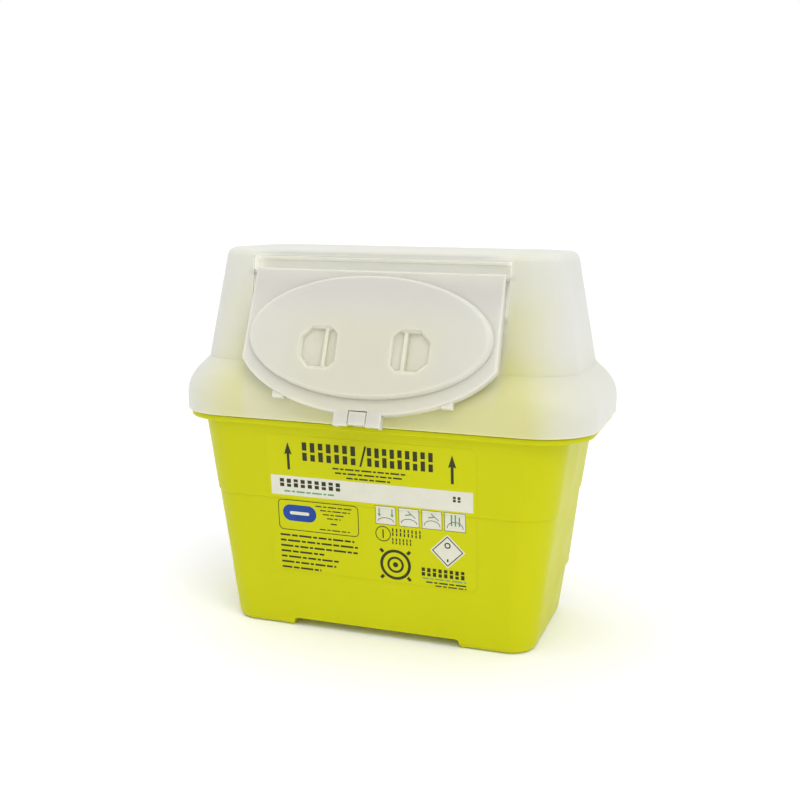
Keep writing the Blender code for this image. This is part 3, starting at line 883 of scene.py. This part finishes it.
def rear_print(dark, white):
    """A pale field with four blank lines to write on."""
    white.shape(rounded(-36.0, 36.0, 33.5, 59.5, 1.0))
    for i in range(4):
        z = 38.5 + 5.6 * i
        dark.words(-34.0, -22.0, z + 0.6, 0.8)
        dark.shape(bar(-20.0, 34.0, z - 0.4, z - 0.15))


def make_labels(film, dark, white, green, blue):
    films = (
        ("front_film", LABEL_HALF_X, LABEL_Z, False, "front_label"),
        ("rear_film", REAR_LABEL_HALF_X, REAR_LABEL_Z, True, "rear_label"),
    )
    for name, half_x, z, rear, node in films:
        sheet = Ink(name, FILM_LIFT, rear)
        sheet.shape(rounded(-half_x, half_x, z[0], z[1], LABEL_R))
        sheet.make(film, "label_film", node)
    lifts = (INK_LIFT, BAND_LIFT, INK_LIFT, BAND_LIFT, INK_LIFT)
    names = ("dark", "white", "green", "blue", "pale")
    inks = [Ink("print_" + name, lift) for name, lift in zip(names, lifts)]
    front_print(*inks)
    for ink, mat in zip(inks, (dark, white, green, blue, white)):
        ink.make(mat, "label_film")
    back = [Ink("rear_print_dark", INK_LIFT, True), Ink("rear_print_white", BAND_LIFT, True)]
    rear_print(*back)
    for ink, mat in zip(back, (dark, white)):
        ink.make(mat, "label_film")


# ---- materials ----

TUB_YELLOW = ((0.30, (0.535, 0.545, 0.002)), (0.70, (0.562, 0.572, 0.003)))
# Lid colours: clear, then painted yellow light of the tub, painted shade, and painted light in the
# recess.
LID_COLOURS = {
    "clear": (0.670, 0.673, 0.640), "painted_tub_light": (0.655, 0.640, 0.305),
    "painted_shade": (0.55, 0.55, 0.50), "painted_light": (0.93, 0.93, 0.84),
}
# Flap colours: clear, then painted yellow light of the tub, and painted shade.
FLAP_COLOURS = {
    "clear": (0.655, 0.650, 0.600), "painted_tub_light": (0.645, 0.628, 0.515), "painted_shade": (0.600, 0.592, 0.540),
}
FLOOR_WHITE = ((0.3, (0.965, 0.965, 0.995)), (0.7, (0.975, 0.975, 1.0)))
NOISE_SPAN = (0.3, 0.7)        # most of a noise pattern's values lie in this range
INK_ROUGHNESS = (0.37, 0.47)
DEPTH_SCALE = 0.003            # how far light passes into the plastic, in metres

# Smooth changes across the lid and flap: start and end in metres, and the value at each.
# Painted yellow light of the tub on the lid, upwards, outwards and from the left.
TUB_LIGHT_UP = (0.114, 0.152, 1.0, 0.16)
TUB_LIGHT_OUT = (0.058, 0.104, 1.0, 0.14)
TUB_LIGHT_LEFT = (-0.060, 0.020, 0.62, 1.0)
# The same painted light on the front of the lid beside the flap.
BESIDE_NEAR = (0.058, 0.064, 0.0, 1.0)
BESIDE_FAR = (0.064, 0.090, 1.0, 0.0)
BESIDE_BACK = (-0.028, -0.018, 1.0, 0.0)
BESIDE_UP = (0.150, 0.176, 1.0, 0.25)
BESIDE_SHARE = 0.42
# The hinge recess, which is painted lighter: behind the tower's front, to the sides and in height, and
# its faint painted glow.
RECESS_FRONT = (0.0004, 0.0016, 0.0, 1.0)
RECESS_BACK = (0.0085, 0.0095, 1.0, 0.0)
RECESS_SIDE = (0.0616, 0.0622, 1.0, 0.0)
RECESS_LOW = (0.150, 0.153, 0.0, 1.0)
RECESS_HIGH = (0.1812, 0.1818, 1.0, 0.0)
RECESS_PAINTED_GLOW = (0.0588, 0.0600, 0.07, 0.18)
# Painted shade on the wall over the recess.
OVER_LOW = (0.172, 0.176, 0.0, 1.0)
OVER_HIGH = (0.1815, 0.1832, 1.0, 0.0)
OVER_BACK = (-0.026, -0.022, 1.0, 0.0)
OVER_SIDE = (0.044, 0.066, 1.0, 0.0)
# Painted yellow light of the tub in the middle of the flap, and painted shade at its ends.
MIDDLE_OUT = (0.020, 0.062, 1.0, 0.30)
MIDDLE_UP = (0.146, 0.174, 1.0, 0.15)
HINGE_END = (0.150, 0.170, 0.0, 1.0)
LUG_END = (0.1125, 0.1165, 0.8, 0.0)


def new_material(name):
    mat = bpy.data.materials.new(name)
    mat.use_nodes = True
    return mat, mat.node_tree, mat.node_tree.nodes["Principled BSDF"]


def noise(tree, scale, detail=3.0, roughness=0.5, stretch=None):
    """A noise pattern in the piece's own coordinates."""
    coords = tree.nodes.new("ShaderNodeTexCoord")
    texture = tree.nodes.new("ShaderNodeTexNoise")
    texture.inputs["Scale"].default_value = scale
    texture.inputs["Detail"].default_value = detail
    texture.inputs["Roughness"].default_value = roughness
    if stretch is None:
        tree.links.new(coords.outputs["Object"], texture.inputs["Vector"])
    else:
        mapping = tree.nodes.new("ShaderNodeMapping")
        mapping.inputs["Scale"].default_value = stretch
        tree.links.new(coords.outputs["Object"], mapping.inputs["Vector"])
        tree.links.new(mapping.outputs["Vector"], texture.inputs["Vector"])
    return texture.outputs["Fac"]


def colour_ramp(tree, source, stops):
    """A ramp between two colours, each given with its place."""
    node = tree.nodes.new("ShaderNodeValToRGB")
    for element, (at, colour) in zip(node.color_ramp.elements, stops):
        element.position = at
        element.color = (*colour, 1.0)
    tree.links.new(source, node.inputs["Fac"])
    return node.outputs["Color"]


def map_range(tree, source, *change):
    """The source mapped from a start and an end to a low and a high value."""
    node = tree.nodes.new("ShaderNodeMapRange")
    for name, value in zip(("From Min", "From Max", "To Min", "To Max"), change):
        node.inputs[name].default_value = value
    tree.links.new(source, node.inputs["Value"])
    return node


def uneven(tree, pattern, low, high):
    """Values between low and high that follow a noise pattern."""
    return map_range(tree, pattern, *NOISE_SPAN, low, high).outputs["Result"]


def fade(tree, source, change):
    """A smooth change with the source's value, by one of the rows above."""
    node = map_range(tree, source, *change)
    node.interpolation_type = "SMOOTHSTEP"
    return node.outputs["Result"]


def bump(tree, shader, source, strength, distance):
    node = tree.nodes.new("ShaderNodeBump")
    node.inputs["Strength"].default_value = strength
    node.inputs["Distance"].default_value = distance
    tree.links.new(source, node.inputs["Height"])
    tree.links.new(node.outputs["Normal"], shader.inputs["Normal"])


def tub_plastic(name, depth=0.25):
    """Bright yellow polypropylene: satin, slightly see-through at thin edges, with faint flow marks."""
    mat, tree, shader = new_material(name)
    flow = noise(tree, 14.0, 2.0, 0.5, (1.0, 1.0, 0.35))
    tree.links.new(colour_ramp(tree, flow, TUB_YELLOW), shader.inputs["Base Color"])
    rough = uneven(tree, noise(tree, 60.0, 4.0), 0.34, 0.44)
    tree.links.new(rough, shader.inputs["Roughness"])
    shader.inputs["Subsurface Weight"].default_value = depth
    shader.inputs["Subsurface Radius"].default_value = (1.0, 1.0, 0.12)
    shader.inputs["Subsurface Scale"].default_value = DEPTH_SCALE
    shader.inputs["IOR"].default_value = 1.49
    shader.inputs["Specular IOR Level"].default_value = 0.13
    bump(tree, shader, noise(tree, 900.0, 2.0), strength=0.12, distance=0.0002)
    return mat


def math_node(tree, operation, *values):
    node = tree.nodes.new("ShaderNodeMath")
    node.operation = operation
    for socket, value in zip(node.inputs, values):
        if isinstance(value, (int, float)):
            socket.default_value = value
        else:
            tree.links.new(value, socket)
    return node.outputs["Value"]


def product(tree, first, *others):
    for other in others:
        first = math_node(tree, "MULTIPLY", first, other)
    return first


def position(tree):
    """Place on the piece, in metres: distance to the side of the middle, then x, y and z."""
    coords = tree.nodes.new("ShaderNodeTexCoord")
    split = tree.nodes.new("ShaderNodeSeparateXYZ")
    tree.links.new(coords.outputs["Object"], split.inputs["Vector"])
    x, y, z = (split.outputs[axis] for axis in "XYZ")
    return math_node(tree, "ABSOLUTE", x), x, y, z


def mixed(tree, share, colour_a, colour_b):
    """A mix of two colours, which are tuples or sockets."""
    node = tree.nodes.new("ShaderNodeMix")
    node.data_type = "RGBA"
    tree.links.new(share, node.inputs["Factor"])
    for socket, colour in ((node.inputs[6], colour_a), (node.inputs[7], colour_b)):
        if isinstance(colour, tuple):
            socket.default_value = (*colour, 1.0)
        else:
            tree.links.new(colour, socket)
    return node.outputs[2]


def lid_glow(tree):
    """Painted yellow light of the tub, where it shows through the lid: low down, and beside the flap
    over the open mouth.
    """
    side, x, y, z = position(tree)
    spread = product(tree, fade(tree, z, TUB_LIGHT_UP), fade(tree, side, TUB_LIGHT_OUT))
    beside = product(
        tree, fade(tree, side, BESIDE_NEAR), fade(tree, side, BESIDE_FAR),
        fade(tree, y, BESIDE_BACK), fade(tree, z, BESIDE_UP))
    total = math_node(tree, "MULTIPLY_ADD", beside, BESIDE_SHARE, spread)
    patch = uneven(tree, noise(tree, 26.0, 3.0, 0.5, (0.5, 0.5, 1.4)), 0.86, 1.14)
    total = product(tree, total, fade(tree, x, TUB_LIGHT_LEFT), patch)
    return math_node(tree, "MINIMUM", total, 1.0)


def recess_share(tree):
    """1 inside the hinge recess, where light and a faint glow are painted, and 0 elsewhere; its thin
    walls take light from three sides.
    """
    side, _, y, z = position(tree)
    slope = (TOWER_TOP[1] - TOWER_FOOT[1]) / (LID_Z - TOWER_Z)
    start = (TOWER_FOOT[1] - slope * TOWER_Z + Y_SHIFT) * MM
    front = math_node(tree, "MULTIPLY_ADD", z, slope, start)
    behind = math_node(tree, "SUBTRACT", y, front)
    return product(
        tree, fade(tree, behind, RECESS_FRONT), fade(tree, behind, RECESS_BACK),
        fade(tree, side, RECESS_SIDE), fade(tree, z, RECESS_LOW), fade(tree, z, RECESS_HIGH))


def lid_shade(tree):
    """Painted shade on the narrow wall over the recess, which has no room behind it to pass light."""
    side, _, y, z = position(tree)
    return product(
        tree, fade(tree, z, OVER_LOW), fade(tree, z, OVER_HIGH),
        fade(tree, y, OVER_BACK), fade(tree, side, OVER_SIDE))


def flap_glow(tree):
    """Painted yellow light of the tub in the middle of the flap, over the oval mouth."""
    side, _, _, z = position(tree)
    return product(tree, fade(tree, side, MIDDLE_OUT), fade(tree, z, MIDDLE_UP))


def flap_shade(tree):
    """Painted shade at the ends of the flap: the plate near the hinge, and the lug."""
    _, _, _, z = position(tree)
    hinge, lug = fade(tree, z, HINGE_END), fade(tree, z, LUG_END)
    return math_node(tree, "ADD", hinge, lug)


def natural_plastic(name, glow, shade, clear, painted_tub_light, painted_shade, painted_light=None):
    """Natural polypropylene: milky, and light passes through its thin walls.

    The colour is clear, with painted yellow light of the tub where glow says, painted shade where shade
    says, and painted light with a faint painted glow in the recess.
    """
    mat, tree, shader = new_material(name)
    flow = noise(tree, 22.0, 3.0, 0.55, (1.0, 1.0, 0.6))
    tone = colour_ramp(tree, flow, ((0.30, clear), (0.70, tuple(c * 1.02 for c in clear))))
    # Painted yellow light of the tub, then painted shade.
    colour = mixed(tree, glow(tree), tone, painted_tub_light)
    colour = mixed(tree, shade(tree), colour, painted_shade)
    if painted_light:
        # Painted light in the recess, with a faint painted glow that is stronger at its sides.
        recess = recess_share(tree)
        colour = mixed(tree, recess, colour, painted_light)
        shader.inputs["Emission Color"].default_value = (*painted_light, 1.0)
        side = position(tree)[0]
        glowing = product(tree, recess, fade(tree, side, RECESS_PAINTED_GLOW))
        tree.links.new(glowing, shader.inputs["Emission Strength"])
    tree.links.new(colour, shader.inputs["Base Color"])
    rough = uneven(tree, noise(tree, 45.0, 4.0), 0.38, 0.50)
    tree.links.new(rough, shader.inputs["Roughness"])
    shader.inputs["Specular IOR Level"].default_value = 0.35
    shader.inputs["Subsurface Weight"].default_value = 1.0
    shader.inputs["Subsurface Radius"].default_value = (1.0, 1.0, 1.0)
    shader.inputs["Subsurface Scale"].default_value = DEPTH_SCALE
    bump(tree, shader, noise(tree, 700.0, 2.0), strength=0.10, distance=0.0002)
    return mat


def printed(name, low, high):
    """Printing ink: a faintly uneven tone."""
    mat, tree, shader = new_material(name)
    blotches = noise(tree, 120.0, 4.0, 0.6)
    tone = colour_ramp(tree, blotches, ((0.30, low), (0.70, high)))
    tree.links.new(tone, shader.inputs["Base Color"])
    rough = uneven(tree, noise(tree, 300.0, 3.0), *INK_ROUGHNESS)
    tree.links.new(rough, shader.inputs["Roughness"])
    shader.inputs["Specular IOR Level"].default_value = 0.25
    bump(tree, shader, noise(tree, 1500.0, 2.0), strength=0.05, distance=0.0001)
    return mat


# ---- camera, light and floor, in metres ----

CAMERA_DISTANCE = 0.54754
CAMERA_YAW = math.radians(18.66)
CAMERA_PITCH = math.radians(11.91)
CAMERA_ROLL = math.radians(0.59)
CAMERA_TARGET_Z = 0.090
LENS = 49.52
SENSOR = 36.0
LENS_SHIFT = (-0.0029, 0.0484)
BACKGROUND = 1.0               # brightness of the surroundings as the camera sees them
SKYLIGHT = 0.80                # and as they light the object
FLOOR_RADIUS = 6.0


def away(turn, rise):
    """A direction turned from the front (-Y) towards +X, and raised."""
    return Vector((
        math.sin(turn) * math.cos(rise), -math.cos(turn) * math.cos(rise), math.sin(rise)))


def sun(name, azimuth, elevation, strength, spread):
    """A distant soft light, with its angles in degrees."""
    light = bpy.data.lights.new(name, "SUN")
    light.energy = strength
    light.angle = math.radians(spread)
    obj = bpy.data.objects.new(name, light)
    bpy.context.scene.collection.objects.link(obj)
    obj.location = away(math.radians(azimuth), math.radians(elevation))
    obj.rotation_euler = (-obj.location).to_track_quat("-Z", "Y").to_euler()


def make_camera():
    target = Vector((0.0, Y_SHIFT * MM, CAMERA_TARGET_Z))
    camera = bpy.data.cameras.new("camera")
    camera.lens = LENS
    camera.sensor_width = SENSOR
    camera.shift_x, camera.shift_y = LENS_SHIFT
    camera.clip_start = 0.01
    obj = bpy.data.objects.new("camera", camera)
    bpy.context.scene.collection.objects.link(obj)
    obj.location = target + away(CAMERA_YAW, CAMERA_PITCH) * CAMERA_DISTANCE
    facing = (target - obj.location).to_track_quat("-Z", "Y")
    roll = Euler((0.0, 0.0, CAMERA_ROLL)).to_quaternion()
    obj.rotation_euler = (facing @ roll).to_euler()
    bpy.context.scene.camera = obj


def make_studio():
    scene = bpy.context.scene
    scene.view_settings.view_transform = "Standard"
    scene.cycles.max_bounces = 24
    scene.cycles.diffuse_bounces = 16
    scene.cycles.transmission_bounces = 16
    world = bpy.data.worlds.new("studio")
    scene.world = world
    world.use_nodes = True
    tree = world.node_tree
    background = tree.nodes["Background"]
    background.inputs["Color"].default_value = (1.0, 1.0, 1.0, 1.0)
    path = tree.nodes.new("ShaderNodeLightPath")
    strength = tree.nodes.new("ShaderNodeMapRange")
    strength.inputs["To Min"].default_value = SKYLIGHT
    strength.inputs["To Max"].default_value = BACKGROUND
    tree.links.new(path.outputs["Is Camera Ray"], strength.inputs["Value"])
    tree.links.new(strength.outputs["Result"], background.inputs["Strength"])
    sun("key", azimuth=42.0, elevation=50.0, strength=0.95, spread=40.0)
    sun("top", azimuth=-60.0, elevation=78.0, strength=0.50, spread=60.0)
    bm = bmesh.new()
    bmesh.ops.create_circle(bm, cap_ends=True, segments=96, radius=FLOOR_RADIUS)
    floor = to_object("floor", bm)
    mat, tree, shader = new_material("floor_paint")
    paint = colour_ramp(tree, noise(tree, 3.0), FLOOR_WHITE)
    tree.links.new(paint, shader.inputs["Base Color"])
    shader.inputs["Roughness"].default_value = 0.9
    floor.data.materials.append(mat)


make_camera()
make_studio()
make_tub(tub_plastic("tub_polypropylene"))
make_lid(natural_plastic("lid_polypropylene", lid_glow, lid_shade, **LID_COLOURS))
flap_plastic = natural_plastic("flap_polypropylene", flap_glow, flap_shade, **FLAP_COLOURS)
make_flap(flap_plastic)
make_tongue(flap_plastic)
make_labels(
    tub_plastic("label_film", 0.0),
    printed("ink_dark", (0.022, 0.026, 0.006), (0.034, 0.038, 0.009)),
    printed("ink_white", (0.66, 0.65, 0.54), (0.70, 0.69, 0.58)),
    printed("ink_green", (0.10, 0.30, 0.12), (0.14, 0.36, 0.16)),
    printed("ink_blue", (0.010, 0.050, 0.26), (0.015, 0.065, 0.31)),
)
